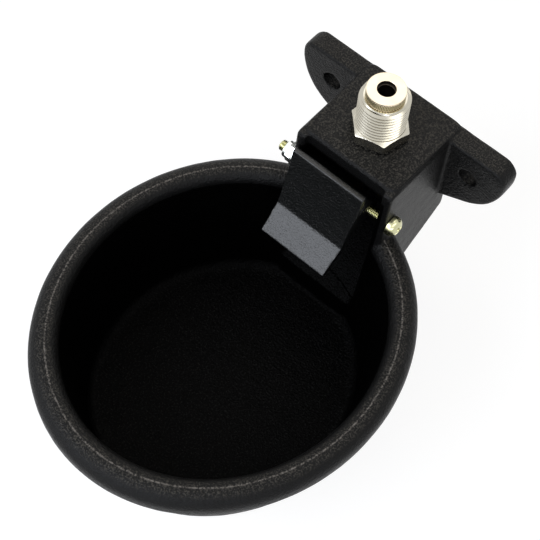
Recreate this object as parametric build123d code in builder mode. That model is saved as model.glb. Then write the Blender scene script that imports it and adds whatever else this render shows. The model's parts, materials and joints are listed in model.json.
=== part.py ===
from build123d import *
import os
from math import cos, radians, sin, sqrt, tan

# Livestock drinking bowl with a press tongue, for a wall or post.
# Origin: midway between the two bolt holes, on the back of the wall flange.
# +Y points into the wall, -Y to the front of the bowl, +Z up. Millimetres.

# Wall flange and bolt holes
hole_pitch = 72.0
hole_diameter = 8.5
flange_width = 106.0
flange_thickness = 9.9
flange_top_z = 14.5
ear_corner_radius = 7.0
ear_lower_radius = 27.8
ear_lower_angle = 62.0
ear_root_length = 21.0
flange_edge_round = 1.2

# Valve housing
housing_width = 49.3
housing_rise = 1.0
housing_reach = 45.5
housing_rear_height = 52.9
housing_corner_radius = 4.0
pad_inset = 0.8
pad_edge_round = 0.4
cheek_thickness = 4.65
cheek_proud = 2.4
cheek_shoulder_round = 2.3
cheek_corner_radius = 1.5
cheek_lean = 1.4
top_plate_thickness = 8.0
rear_wall = 6.0
ramp_wall = 5.0
ramp_angle = 32.5
chamber_corner_radius = 3.0
boss_diameter = 26.0
boss_depth = 6.0

# Oval bowl, given by half widths along X and stretched along Y
rim_half_width = 74.2
rim_drop = 33.0
rim_height = 13.5
rim_outer_round = 6.7
rim_inner_round = 5.0
rim_under_round = 4.5
rim_root_round = 2.0
bowl_length_ratio = 1.12
bowl_centre_reach = 117.1
bowl_depth = 62.0
bowl_wall = 5.0
bowl_taper = 6.5
floor_round = 4.5
foot_ground = 0.6

# Hinge
hinge_setback = 0.6
hinge_drop = 22.1
bolt_diameter = 5.0
bolt_clearance = 0.05
bolt_head_diameter = 8.8
bolt_head_height = 4.6
bolt_head_round = 2.6
bolt_end_length = 2.8
bolt_end_chamfer = 0.6
washer_diameter = 10.0
washer_thickness = 1.0
nut_flats = 8.0
nut_height = 5.0
nut_collar_height = 1.7
nut_collar_round = 0.6
nut_ring_thickness = 1.1
nut_ring_diameter = 6.6

# Press tongue, measured from the hinge
tongue_top_width = 36.4
tongue_lip_width = 33.8
tongue_side_gap = 0.3
tongue_thickness = 3.2
tongue_top_reach = 9.1
tongue_top_rise = 18.3
tongue_bend_reach = 17.9
tongue_bend_drop = 9.6
tongue_bow = 0.5
tongue_edge_round = 0.8
lip_length = 14.3
lip_angle = 42.7
hub_radius = 5.2
hub_length = 34.0
hub_clearance = 0.07
arm_width = 12.0
arm_height = 7.0
heel_half_length = 4.5
heel_crown = 0.8
heel_gap = 0.1

# Valve body and inlet
valve_reach = 25.3
gasket_thickness = 0.8
gasket_diameter = 21.0
hexagon_flats = 22.0
hexagon_height = 5.7
hexagon_turn = 15.3
hexagon_chamfer = 1.0
hexagon_chamfer_height = 0.6
inlet_thread_diameter = 20.955
inlet_thread_length = 16.7
thread_end_chamfer = 1.2
thread_undercut = 0.9
thread_undercut_height = 1.2
shank_diameter = 16.6
shank_clearance = 0.05
shank_below_boss = 0.5
chamber_bore = 13.0
water_bore = 8.0
seat_height = 11.0
insert_diameter = 16.06
insert_head_height = 4.3
insert_spigot_length = 10.0
insert_clearance = 0.05
insert_bore = 7.75
insert_bore_chamfer = 0.6
insert_edge_chamfer = 0.4

# Plunger, seal and spring
seal_diameter = 11.0
seal_thickness = 2.5
plunger_corner_clearance = 0.1
plunger_head_height = 4.0
plunger_guide_diameter = 6.0
plunger_guide_height = 3.0
stem_diameter = 4.0
stem_clearance = 0.05
stem_below_body = 6.0
stem_end_round = 1.2
spring_outer_diameter = 9.0
spring_wire = 1.1

# Places of the housing and the bowl
cheek_x = housing_width / 2
cheek_inner_x = cheek_x - cheek_thickness
cheek_front_y = -housing_reach - cheek_proud
pad_width = housing_width - 2 * pad_inset
pad_reach = housing_reach - pad_inset
housing_top_z = flange_top_z + housing_rise
chamber_top_z = housing_top_z - top_plate_thickness
boss_bottom_z = chamber_top_z - boss_depth
housing_rear_z = housing_top_z - housing_rear_height
bowl_centre_y = -bowl_centre_reach
crest_half_width = rim_half_width - rim_outer_round
inner_top_half_width = crest_half_width - rim_inner_round
inner_foot_half_width = inner_top_half_width - bowl_taper
crest_z = housing_top_z - rim_drop
inner_top_z = crest_z - rim_inner_round
rim_under_z = crest_z - rim_height
bowl_floor_z = crest_z - bowl_depth
bowl_bottom_z = bowl_floor_z - bowl_wall
cheek_foot_y = bowl_centre_y + bowl_length_ratio * sqrt(inner_top_half_width**2 - cheek_inner_x**2)
ramp_foot_y = bowl_centre_y + bowl_length_ratio * sqrt(inner_foot_half_width**2 - cheek_inner_x**2)
mid_wall_half_width = inner_foot_half_width + bowl_wall / 2
toe_y = bowl_centre_y + bowl_length_ratio * sqrt(mid_wall_half_width**2 - cheek_x**2)
ramp_slope = tan(radians(ramp_angle))
ramp_inner_z = housing_rear_z + ramp_wall / cos(radians(ramp_angle))
ramp_end_z = ramp_inner_z + ramp_slope * ramp_foot_y

# Places of the hinge and the tongue
hinge_y = hinge_setback - housing_reach
hinge_z = housing_top_z - hinge_drop
nut_start_x = cheek_x + washer_thickness
nut_end_x = nut_start_x + nut_height
bolt_end_x = nut_end_x + bolt_end_length
hub_left_x = tongue_side_gap - cheek_inner_x
hub_top_z = hinge_z + hub_radius
hub_bottom_z = hinge_z - hub_radius
tongue_middle_x = hub_left_x + hub_length / 2
tongue_top = (hinge_y - tongue_top_reach, hinge_z + tongue_top_rise)
tongue_bend = (hinge_y - tongue_bend_reach, hinge_z - tongue_bend_drop)
lip_end_z = tongue_bend[1] - lip_length * sin(radians(lip_angle))
tongue_slope = (tongue_bend[0] - tongue_top[0]) / (tongue_bend[1] - tongue_top[1])
web_top_y = tongue_top[0] + tongue_slope * (hub_top_z - tongue_top[1]) + tongue_thickness / 2
web_bottom_y = tongue_top[0] + tongue_slope * (hub_bottom_z - tongue_top[1]) + tongue_thickness / 2

# Places along the valve
valve_y = -valve_reach
valve_plane = Plane(origin=(0, valve_y, 0), x_dir=(1, 0, 0), z_dir=(0, -1, 0))
valve_axis = Axis((0, valve_y, 0), (0, 0, 1))
hexagon_bottom_z = housing_top_z + gasket_thickness
hexagon_top_z = hexagon_bottom_z + hexagon_height
hexagon_corner_radius = hexagon_flats / sqrt(3)
body_top_z = hexagon_top_z + inlet_thread_length
body_bottom_z = boss_bottom_z - shank_below_boss
seat_z = body_bottom_z + seat_height
insert_top_z = body_top_z + insert_head_height
insert_bottom_z = body_top_z - insert_spigot_length
plunger_bottom_z = seat_z + seal_thickness
plunger_top_z = plunger_bottom_z + plunger_head_height
stem_end_z = body_bottom_z - stem_below_body
heel_top_z = stem_end_z - heel_gap

os.makedirs("parts", exist_ok=True)


# Bowl: outside form and inside space, turned round and then stretched to an oval; the foot is
# ground flat
with BuildPart() as bowl_outside:
    with BuildSketch(Plane.XZ):
        with BuildLine():
            FilletPolyline(
                (0, bowl_bottom_z - foot_ground),
                (inner_foot_half_width + bowl_wall, bowl_bottom_z - foot_ground),
                (inner_top_half_width + bowl_wall, rim_under_z),
                (rim_half_width, rim_under_z),
                (rim_half_width, crest_z),
                (0, crest_z),
                radius=[floor_round + bowl_wall, rim_root_round, rim_under_round, rim_outer_round],
            )
            Line((0, crest_z), (0, bowl_bottom_z - foot_ground))
        make_face()
    revolve(axis=Axis.Z)
    scale(by=(1, bowl_length_ratio, 1))
    with BuildSketch(Plane.XY.offset(bowl_bottom_z)):
        Rectangle(2 * rim_half_width, 2 * rim_half_width * bowl_length_ratio)
    extrude(amount=-2 * foot_ground, mode=Mode.SUBTRACT)

with BuildPart() as bowl_inside:
    with BuildSketch(Plane.XZ):
        with BuildLine():
            FilletPolyline(
                (0, bowl_floor_z),
                (inner_foot_half_width, bowl_floor_z),
                (inner_top_half_width, inner_top_z),
                radius=floor_round,
            )
            RadiusArc((inner_top_half_width, inner_top_z), (crest_half_width, crest_z), rim_inner_round)
            Polyline((crest_half_width, crest_z), (0, crest_z), (0, bowl_floor_z))
        make_face()
    revolve(axis=Axis.Z)
    scale(by=(1, bowl_length_ratio, 1))

# Valve housing: side profile drawn across, with the cheeks' fronts proud of the top plate
with BuildPart() as housing_outside:
    with BuildSketch(Plane.YZ):
        with BuildLine():
            Polyline(
                (0, flange_top_z),
                (cheek_front_y, flange_top_z),
                (cheek_front_y - cheek_lean, hinge_z),
                (cheek_foot_y, inner_top_z),
                (ramp_foot_y, bowl_floor_z),
                (toe_y, bowl_floor_z),
                (toe_y, housing_rear_z + ramp_slope * toe_y),
                (0, housing_rear_z),
                close=True,
            )
        make_face()
    extrude(amount=cheek_x, both=True)
    shoulder = housing_outside.faces().sort_by(Axis.Z)[-1].edges().sort_by(Axis.Y)[0]
    fillet(shoulder, cheek_shoulder_round)
    front_corners = housing_outside.edges().filter_by(
        lambda edge: edge.center().Y < -housing_reach
        and edge.center().Z > inner_top_z
        and abs(edge.center().X) > cheek_inner_x
    )
    fillet(front_corners, cheek_corner_radius)
    rear_corners = housing_outside.edges().filter_by(Axis.Z).filter_by(
        lambda edge: edge.center().Y > -flange_thickness
    )
    fillet(rear_corners, housing_corner_radius)

# Raised pad on top of the housing, where the valve is seated
with BuildPart() as housing_pad:
    with BuildSketch(Plane.XY.offset(flange_top_z)):
        with Locations((0, -pad_reach / 2)):
            RectangleRounded(pad_width, pad_reach, housing_corner_radius)
    extrude(amount=housing_rise)
    fillet(housing_pad.faces().sort_by(Axis.Z)[-1].edges(), pad_edge_round)

# Wall flange with two ears
with BuildPart() as flange:
    with BuildSketch(Plane.XZ):
        with BuildLine():
            top_line = Line((0, flange_top_z), (flange_width / 2 - ear_corner_radius, flange_top_z))
            corner_arc = JernArc(top_line @ 1, top_line % 1, ear_corner_radius, -90)
            lower_arc = JernArc(corner_arc @ 1, corner_arc % 1, ear_lower_radius, -ear_lower_angle)
            root_line = Line(lower_arc @ 1, lower_arc @ 1 + ear_root_length * (lower_arc % 1))
            Polyline(root_line @ 1, (0, (root_line @ 1).Y), (0, flange_top_z))
        make_face()
        mirror(about=Plane.YZ)
    extrude(amount=flange_thickness)
    fillet(flange.faces().sort_by(Axis.Y)[0].edges(), flange_edge_round)

# Chamber inside the housing, open between the cheeks to the middle of the bowl
with BuildPart() as chamber:
    with BuildSketch(Plane.YZ):
        with BuildLine():
            Polyline(
                (-rear_wall, chamber_top_z),
                (-housing_reach, chamber_top_z),
                (-housing_reach, housing_top_z),
                (bowl_centre_y, housing_top_z),
                (bowl_centre_y, ramp_end_z),
                (ramp_foot_y, ramp_end_z),
                (-rear_wall, ramp_inner_z - ramp_slope * rear_wall),
                close=True,
            )
        make_face()
    extrude(amount=cheek_inner_x, both=True)
    ramp_corners = chamber.edges().filter_by(
        lambda edge: edge.center().Z < chamber_top_z and edge.center().Y > ramp_foot_y + ramp_wall
    )
    fillet(ramp_corners, chamber_corner_radius)

with BuildPart() as bowl_casting:
    add(bowl_outside.part.moved(Location((0, bowl_centre_y, 0))))
    add(bowl_inside.part.moved(Location((0, bowl_centre_y, 0))), mode=Mode.SUBTRACT)
    add(housing_outside.part)
    add(housing_pad.part)
    add(flange.part)
    add(chamber.part, mode=Mode.SUBTRACT)
    with BuildSketch(Plane.XY.offset(chamber_top_z)):
        with Locations((0, valve_y)):
            Circle(boss_diameter / 2)
    extrude(amount=-boss_depth)
    with BuildSketch(Plane.XY.offset(boss_bottom_z)):
        with Locations((0, valve_y)):
            Circle(shank_diameter / 2 + shank_clearance)
    extrude(amount=housing_top_z - boss_bottom_z, mode=Mode.SUBTRACT)
    with BuildSketch(Plane.XZ):
        with GridLocations(hole_pitch, 0, 2, 1):
            Circle(hole_diameter / 2)
    extrude(amount=flange_thickness, mode=Mode.SUBTRACT)
    with BuildSketch(Plane.YZ):
        with Locations((hinge_y, hinge_z)):
            Circle(bolt_diameter / 2 + bolt_clearance)
    extrude(amount=cheek_x, both=True, mode=Mode.SUBTRACT)
bowl_casting.part.label = "bowl_casting"

# Press tongue: bent plate that narrows downwards, a hub on the hinge bolt, a web that joins
# the two, and an arm that ends under the stem
with BuildPart() as press_tongue:
    with BuildSketch(Plane.YZ.offset(tongue_middle_x)):
        with BuildLine() as tongue_face:
            SagittaArc(tongue_top, tongue_bend, tongue_bow)
            PolarLine(tongue_bend, lip_length, 180 + lip_angle)
            offset(amount=tongue_thickness, side=Side.LEFT)
        make_face()
    extrude(amount=tongue_top_width / 2, both=True)
    end_edges = press_tongue.edges().filter_by(Axis.X).filter_by(
        lambda edge: edge.center().Z > hub_top_z or edge.center().Y < tongue_bend[0]
    )
    fillet(end_edges, tongue_edge_round)
    with BuildSketch(Plane.XZ):
        with BuildLine():
            Polyline(
                (tongue_middle_x - tongue_top_width / 2, tongue_top[1] + tongue_thickness),
                (tongue_middle_x - tongue_top_width / 2, tongue_top[1]),
                (tongue_middle_x - tongue_lip_width / 2, lip_end_z),
                (tongue_middle_x - tongue_lip_width / 2, lip_end_z - tongue_thickness),
                (tongue_middle_x + tongue_lip_width / 2, lip_end_z - tongue_thickness),
                (tongue_middle_x + tongue_lip_width / 2, lip_end_z),
                (tongue_middle_x + tongue_top_width / 2, tongue_top[1]),
                (tongue_middle_x + tongue_top_width / 2, tongue_top[1] + tongue_thickness),
                close=True,
            )
        make_face()
    extrude(amount=bowl_centre_reach, mode=Mode.INTERSECT)
    with BuildSketch(Plane.YZ.offset(hub_left_x)):
        with BuildLine():
            Polyline(
                (hinge_y, hub_top_z),
                (web_top_y, hub_top_z),
                (web_bottom_y, hub_bottom_z),
                (hinge_y, hub_bottom_z),
                close=True,
            )
        make_face()
        with Locations((hinge_y, hinge_z)):
            Circle(hub_radius)
    extrude(amount=hub_length)
    with BuildSketch(Plane.YZ.offset(-arm_width / 2)):
        with BuildLine():
            Polyline(
                (hinge_y, hub_top_z),
                (valve_y - heel_half_length, heel_top_z - heel_crown),
                (valve_y - heel_half_length, heel_top_z - arm_height),
                (hinge_y, hub_bottom_z),
                close=True,
            )
        make_face()
        with BuildLine():
            crown = ThreePointArc(
                (valve_y - heel_half_length, heel_top_z - heel_crown),
                (valve_y, heel_top_z),
                (valve_y + heel_half_length, heel_top_z - heel_crown),
            )
            Polyline(
                crown @ 1,
                (valve_y + heel_half_length, heel_top_z - arm_height),
                (valve_y - heel_half_length, heel_top_z - arm_height),
                crown @ 0,
            )
        make_face()
    extrude(amount=arm_width)
    with BuildSketch(Plane.YZ.offset(hub_left_x)):
        with Locations((hinge_y, hinge_z)):
            Circle(bolt_diameter / 2 + hub_clearance)
    extrude(amount=hub_length, mode=Mode.SUBTRACT)
press_tongue.part.label = "press_tongue"

# Hinge bolt: domed head on the +X cheek, shank through both cheeks, end past the nut
with BuildPart() as hinge_bolt:
    with BuildSketch(Plane.YZ.offset(cheek_x)):
        with Locations((hinge_y, hinge_z)):
            Circle(bolt_head_diameter / 2)
    extrude(amount=bolt_head_height)
    fillet(hinge_bolt.edges().sort_by(Axis.X)[-1], bolt_head_round)
    with BuildSketch(Plane.YZ.offset(cheek_x)):
        with Locations((hinge_y, hinge_z)):
            Circle(bolt_diameter / 2)
    extrude(amount=-cheek_x - bolt_end_x)
    chamfer(hinge_bolt.edges().sort_by(Axis.X)[0], bolt_end_chamfer)
hinge_bolt.part.label = "hinge_bolt"

with BuildPart() as hinge_washer:
    with BuildSketch(Plane.YZ.offset(-cheek_x)):
        with Locations((hinge_y, hinge_z)):
            Circle(washer_diameter / 2)
            Circle(bolt_diameter / 2 + bolt_clearance, mode=Mode.SUBTRACT)
    extrude(amount=-washer_thickness)
hinge_washer.part.label = "hinge_washer"

# Lock nut: hexagon, then a round collar that holds the nylon ring
with BuildPart() as hinge_lock_nut:
    with BuildSketch(Plane.YZ.offset(-nut_start_x)):
        with Locations((hinge_y, hinge_z)):
            RegularPolygon(nut_flats / 2, 6, major_radius=False)
    extrude(amount=nut_collar_height - nut_height)
    with BuildSketch(Plane.YZ.offset(-nut_start_x)):
        with Locations((hinge_y, hinge_z)):
            Circle(nut_flats / 2)
    extrude(amount=-nut_height)
    fillet(hinge_lock_nut.edges().sort_by(Axis.X)[0], nut_collar_round)
    with BuildSketch(Plane.YZ.offset(-nut_end_x)):
        with Locations((hinge_y, hinge_z)):
            Circle(nut_ring_diameter / 2)
    extrude(amount=nut_ring_thickness, mode=Mode.SUBTRACT)
    with BuildSketch(Plane.YZ.offset(-nut_start_x)):
        with Locations((hinge_y, hinge_z)):
            Circle(bolt_diameter / 2 + bolt_clearance)
    extrude(amount=-nut_height, mode=Mode.SUBTRACT)
hinge_lock_nut.part.label = "hinge_lock_nut"

with BuildPart() as lock_nut_ring:
    with BuildSketch(Plane.YZ.offset(-nut_end_x)):
        with Locations((hinge_y, hinge_z)):
            Circle(nut_ring_diameter / 2)
            Circle(bolt_diameter / 2 + bolt_clearance, mode=Mode.SUBTRACT)
    extrude(amount=nut_ring_thickness)
lock_nut_ring.part.label = "lock_nut_ring"

with BuildPart() as body_gasket:
    with BuildSketch(Plane.XY.offset(housing_top_z)):
        with Locations((0, valve_y)):
            Circle(gasket_diameter / 2)
            Circle(shank_diameter / 2 + shank_clearance, mode=Mode.SUBTRACT)
    extrude(amount=gasket_thickness)
body_gasket.part.label = "body_gasket"

# Valve body: shank in the tapped boss, hexagon, inlet thread, seat at the foot of the bore
with BuildPart() as hexagon_limit:
    with BuildSketch(valve_plane):
        with BuildLine():
            Polyline(
                (0, hexagon_bottom_z),
                (hexagon_corner_radius, hexagon_bottom_z),
                (hexagon_corner_radius, hexagon_top_z - hexagon_chamfer_height),
                (hexagon_corner_radius - hexagon_chamfer, hexagon_top_z),
                (0, hexagon_top_z),
                close=True,
            )
        make_face()
    revolve(axis=valve_axis)

with BuildPart() as valve_body:
    with BuildSketch(Plane.XY.offset(hexagon_bottom_z)):
        with Locations((0, valve_y)):
            RegularPolygon(hexagon_flats / 2, 6, major_radius=False, rotation=hexagon_turn)
    extrude(amount=hexagon_height)
    add(hexagon_limit.part, mode=Mode.INTERSECT)
    with BuildSketch(valve_plane):
        with BuildLine():
            thread_radius = inlet_thread_diameter / 2
            Polyline(
                (0, body_bottom_z),
                (shank_diameter / 2, body_bottom_z),
                (shank_diameter / 2, hexagon_bottom_z),
                (shank_diameter / 2, hexagon_top_z),
                (thread_radius - thread_undercut, hexagon_top_z),
                (thread_radius - thread_undercut, hexagon_top_z + thread_undercut_height),
                (thread_radius, hexagon_top_z + thread_undercut_height + thread_undercut),
                (thread_radius, body_top_z - thread_end_chamfer),
                (thread_radius - thread_end_chamfer, body_top_z),
                (0, body_top_z),
                close=True,
            )
        make_face()
    revolve(axis=valve_axis)
    with BuildSketch(valve_plane):
        with BuildLine():
            Polyline(
                (0, body_bottom_z),
                (water_bore / 2, body_bottom_z),
                (water_bore / 2, seat_z),
                (chamber_bore / 2, seat_z),
                (chamber_bore / 2, body_top_z),
                (0, body_top_z),
                close=True,
            )
        make_face()
    revolve(axis=valve_axis, mode=Mode.SUBTRACT)
valve_body.part.label = "valve_body"

# Inlet insert: spigot in the bore, knurled head on the end of the thread, bore right through
with BuildPart() as inlet_insert:
    with BuildSketch(valve_plane):
        with BuildLine():
            Polyline(
                (insert_bore / 2, insert_bottom_z),
                (chamber_bore / 2 - insert_clearance, insert_bottom_z),
                (chamber_bore / 2 - insert_clearance, body_top_z),
                (insert_diameter / 2, body_top_z),
                (insert_diameter / 2, insert_top_z - insert_edge_chamfer),
                (insert_diameter / 2 - insert_edge_chamfer, insert_top_z),
                (insert_bore / 2 + insert_bore_chamfer, insert_top_z),
                (insert_bore / 2, insert_top_z - insert_bore_chamfer),
                close=True,
            )
        make_face()
    revolve(axis=valve_axis)
inlet_insert.part.label = "inlet_insert"

with BuildPart() as valve_spring:
    with BuildSketch(Plane.XY.offset(plunger_top_z)):
        with Locations((0, valve_y)):
            Circle(spring_outer_diameter / 2)
            Circle(spring_outer_diameter / 2 - spring_wire, mode=Mode.SUBTRACT)
    extrude(amount=insert_bottom_z - plunger_top_z)
valve_spring.part.label = "valve_spring"

# Plunger: six-sided head that lets water past its flats, spring guide above, stem below
with BuildPart() as valve_plunger:
    with BuildSketch(Plane.XY.offset(plunger_bottom_z)):
        with Locations((0, valve_y)):
            RegularPolygon(chamber_bore / 2 - plunger_corner_clearance, 6)
    extrude(amount=plunger_head_height)
    with BuildSketch(Plane.XY.offset(plunger_top_z)):
        with Locations((0, valve_y)):
            Circle(plunger_guide_diameter / 2)
    extrude(amount=plunger_guide_height)
    with BuildSketch(Plane.XY.offset(plunger_bottom_z)):
        with Locations((0, valve_y)):
            Circle(stem_diameter / 2)
    extrude(amount=stem_end_z - plunger_bottom_z)
    fillet(valve_plunger.edges().sort_by(Axis.Z)[0], stem_end_round)
valve_plunger.part.label = "valve_plunger"

with BuildPart() as plunger_seal:
    with BuildSketch(Plane.XY.offset(seat_z)):
        with Locations((0, valve_y)):
            Circle(seal_diameter / 2)
            Circle(stem_diameter / 2 + stem_clearance, mode=Mode.SUBTRACT)
    extrude(amount=seal_thickness)
plunger_seal.part.label = "plunger_seal"

pieces = [
    bowl_casting, press_tongue, hinge_bolt, hinge_washer, hinge_lock_nut, lock_nut_ring,
    body_gasket, valve_body, inlet_insert, valve_spring, valve_plunger, plunger_seal,
]
for piece in pieces:
    export_step(piece.part, f"parts/{piece.part.label}.step")
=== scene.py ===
"""Studio scene of a cast-iron livestock drinking bowl with a press tongue and a spring valve.

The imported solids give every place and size. Each sub-assembly below is a class that skins its
solids with finer meshes, dresses them in procedural finishes and ties them to a body of the frame.
"""

import json
import logging
import math
from dataclasses import dataclass
from enum import Enum
from typing import Callable, Optional, Sequence, Union

import bmesh
import bpy
import numpy as np
from mathutils import Matrix, Vector, noise

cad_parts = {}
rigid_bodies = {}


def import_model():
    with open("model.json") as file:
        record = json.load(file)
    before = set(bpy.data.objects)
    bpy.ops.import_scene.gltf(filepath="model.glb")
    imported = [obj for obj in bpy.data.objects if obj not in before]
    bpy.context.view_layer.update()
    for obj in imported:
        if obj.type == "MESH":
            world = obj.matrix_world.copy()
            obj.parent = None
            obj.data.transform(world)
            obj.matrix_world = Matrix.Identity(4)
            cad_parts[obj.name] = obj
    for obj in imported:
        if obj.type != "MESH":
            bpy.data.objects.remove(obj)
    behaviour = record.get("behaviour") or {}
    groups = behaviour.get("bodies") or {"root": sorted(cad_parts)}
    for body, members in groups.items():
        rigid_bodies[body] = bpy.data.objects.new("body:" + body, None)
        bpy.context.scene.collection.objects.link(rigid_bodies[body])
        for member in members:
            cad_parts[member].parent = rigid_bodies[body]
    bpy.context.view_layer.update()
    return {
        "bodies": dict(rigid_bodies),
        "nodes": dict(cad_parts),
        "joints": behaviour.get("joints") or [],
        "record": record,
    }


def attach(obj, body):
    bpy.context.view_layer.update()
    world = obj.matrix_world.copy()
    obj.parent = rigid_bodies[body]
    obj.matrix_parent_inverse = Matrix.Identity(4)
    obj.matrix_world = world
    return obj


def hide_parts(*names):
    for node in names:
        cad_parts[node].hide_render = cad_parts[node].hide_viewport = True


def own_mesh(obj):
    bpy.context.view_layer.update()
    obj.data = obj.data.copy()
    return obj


LOG = logging.getLogger("drinking_bowl")
MM = 0.001
Socket = bpy.types.NodeSocket
Tree = bpy.types.NodeTree


class Body(Enum):
    """The rigid bodies that new pieces ride on."""

    BOWL = "bowl"
    TONGUE = "tongue"


class Slot(Enum):
    """The record's material slots that new pieces are given."""

    BLACK_IRON = "black_iron"
    ZINC_STEEL = "zinc_steel"
    NICKEL_BRASS = "nickel_brass"
    SPRING_STEEL = "spring_steel"


def to_linear(code: str) -> tuple[float, float, float, float]:
    """Turns an sRGB hex colour into linear values.

    Args:
        code: six hex digits after a hash sign.

    Returns:
        Red, green, blue and an alpha of 1.
    """
    parts = [int(code[i : i + 2], 16) / 255 for i in (1, 3, 5)]
    linear = [c / 12.92 if c <= 0.04045 else ((c + 0.055) / 1.055) ** 2.4 for c in parts]
    return (linear[0], linear[1], linear[2], 1.0)


def add_node(tree: Tree, kind: str, settings: dict) -> bpy.types.Node:
    """Adds one shader node.

    Args:
        tree: the node tree it goes into.
        kind: Blender's name of the node type.
        settings: attributes by name, and inputs by socket name or number. An input is a value or the
            output socket that feeds it.

    Returns:
        The new node.
    """
    made = tree.nodes.new(kind)
    for key, value in settings.items():
        if isinstance(value, Socket):
            tree.links.new(value, made.inputs[key])
        elif isinstance(key, str) and hasattr(made, key):
            setattr(made, key, value)
        else:
            made.inputs[key].default_value = value
    return made


def math_node(tree: Tree, operation: str,
              *values: Union[float, Socket]) -> Socket:
    """Adds a math node."""
    settings = {"operation": operation, **dict(enumerate(values))}
    return add_node(tree, "ShaderNodeMath", settings).outputs[0]


def map_range(tree: Tree, value: Socket, span: tuple[float, float],
              result: tuple[float, float]) -> Socket:
    """Adds a node that maps a span to a result and holds what lies outside at its ends."""
    settings = {0: value, 1: span[0], 2: span[1], 3: result[0], 4: result[1]}
    return add_node(tree, "ShaderNodeMapRange", settings).outputs[0]


def mix_colours(tree: Tree, share: Socket,
                first: Union[tuple, Socket], second: tuple) -> Socket:
    """Adds a node that goes from the first colour to the second as the share goes from 0 to 1."""
    settings = {"data_type": "RGBA", 0: share, 6: first, 7: second}
    return add_node(tree, "ShaderNodeMix", settings).outputs[2]


def noise_texture(tree: Tree, place: Socket, pitch_mm: float,
                  detail: float = 2.0, roughness: float = 0.5) -> Socket:
    """Adds a noise texture."""
    settings = {"Scale": 1 / (pitch_mm * MM), "Detail": detail, "Roughness": roughness, "Vector": place}
    return add_node(tree, "ShaderNodeTexNoise", settings).outputs["Fac"]


def bump_node(tree: Tree, height: Socket, strength: float,
              depth_mm: float) -> Socket:
    """Adds a bump of the given depth and gives the normal that it makes."""
    settings = {"Strength": strength, "Distance": depth_mm * MM, "Height": height}
    return add_node(tree, "ShaderNodeBump", settings).outputs[0]


def new_material(name: str) -> tuple[bpy.types.Material, Tree]:
    """Makes an empty node material.

    Args:
        name: the finish's plain name.

    Returns:
        The material and its cleared node tree.
    """
    material = bpy.data.materials.new(name)
    material.use_nodes = True
    material.node_tree.nodes.clear()
    return material, material.node_tree


@dataclass(frozen=True)
class CrestWearAndHighlight:
    """The thin beige line along the rim's crest: partly enamel rubbed by handling, partly a painted
    highlight of the crest.
    """

    colour: str = "#75706a"
    centre_y: float = -117.1
    length_ratio: float = 1.12
    half_width: float = 67.4
    height: float = -17.5
    spread: float = 0.45
    full_share: float = 0.3
    full_rise: float = 0.8
    last_rise: float = 1.2
    wear_and_highlight_span: tuple[float, float] = (0.4, 0.6)
    least_wear_and_highlight: float = 0.05

    def mask(self, tree: Tree, place: Socket,
             grain: Socket) -> Socket:
        """Builds a mask that is up to 1 on the line, and fainter between the grains.

        Args:
            tree: the material's node tree.
            place: the point on the casting, in metres.
            grain: the sand's grain, from 0 to 1.

        Returns:
            The mask.
        """
        kind = "ShaderNodeVectorMath"
        centre = (0.0, self.centre_y * MM, self.height * MM)
        centred = add_node(tree, kind, {"operation": "SUBTRACT", 0: place, 1: centre}).outputs[0]
        squeeze = (1 / MM, 1 / MM / self.length_ratio, 0.0)
        oval = add_node(tree, kind, {"operation": "MULTIPLY", 0: centred, 1: squeeze}).outputs[0]
        radius = add_node(tree, kind, {"operation": "LENGTH", 0: oval}).outputs["Value"]
        off = math_node(tree, "ABSOLUTE", math_node(tree, "SUBTRACT", radius, self.half_width))
        line = map_range(tree, off, (self.spread * self.full_share, self.spread), (1.0, 0.0))
        parts = add_node(tree, "ShaderNodeSeparateXYZ", {0: centred})
        rise = math_node(tree, "ABSOLUTE", parts.outputs[2])
        high = map_range(tree, rise, (self.full_rise * MM, self.last_rise * MM), (1.0, 0.0))
        wear_and_highlight = map_range(tree, grain, self.wear_and_highlight_span, (self.least_wear_and_highlight, 1.0))
        return math_node(tree, "MULTIPLY", math_node(tree, "MULTIPLY", line, high), wear_and_highlight)


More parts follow.
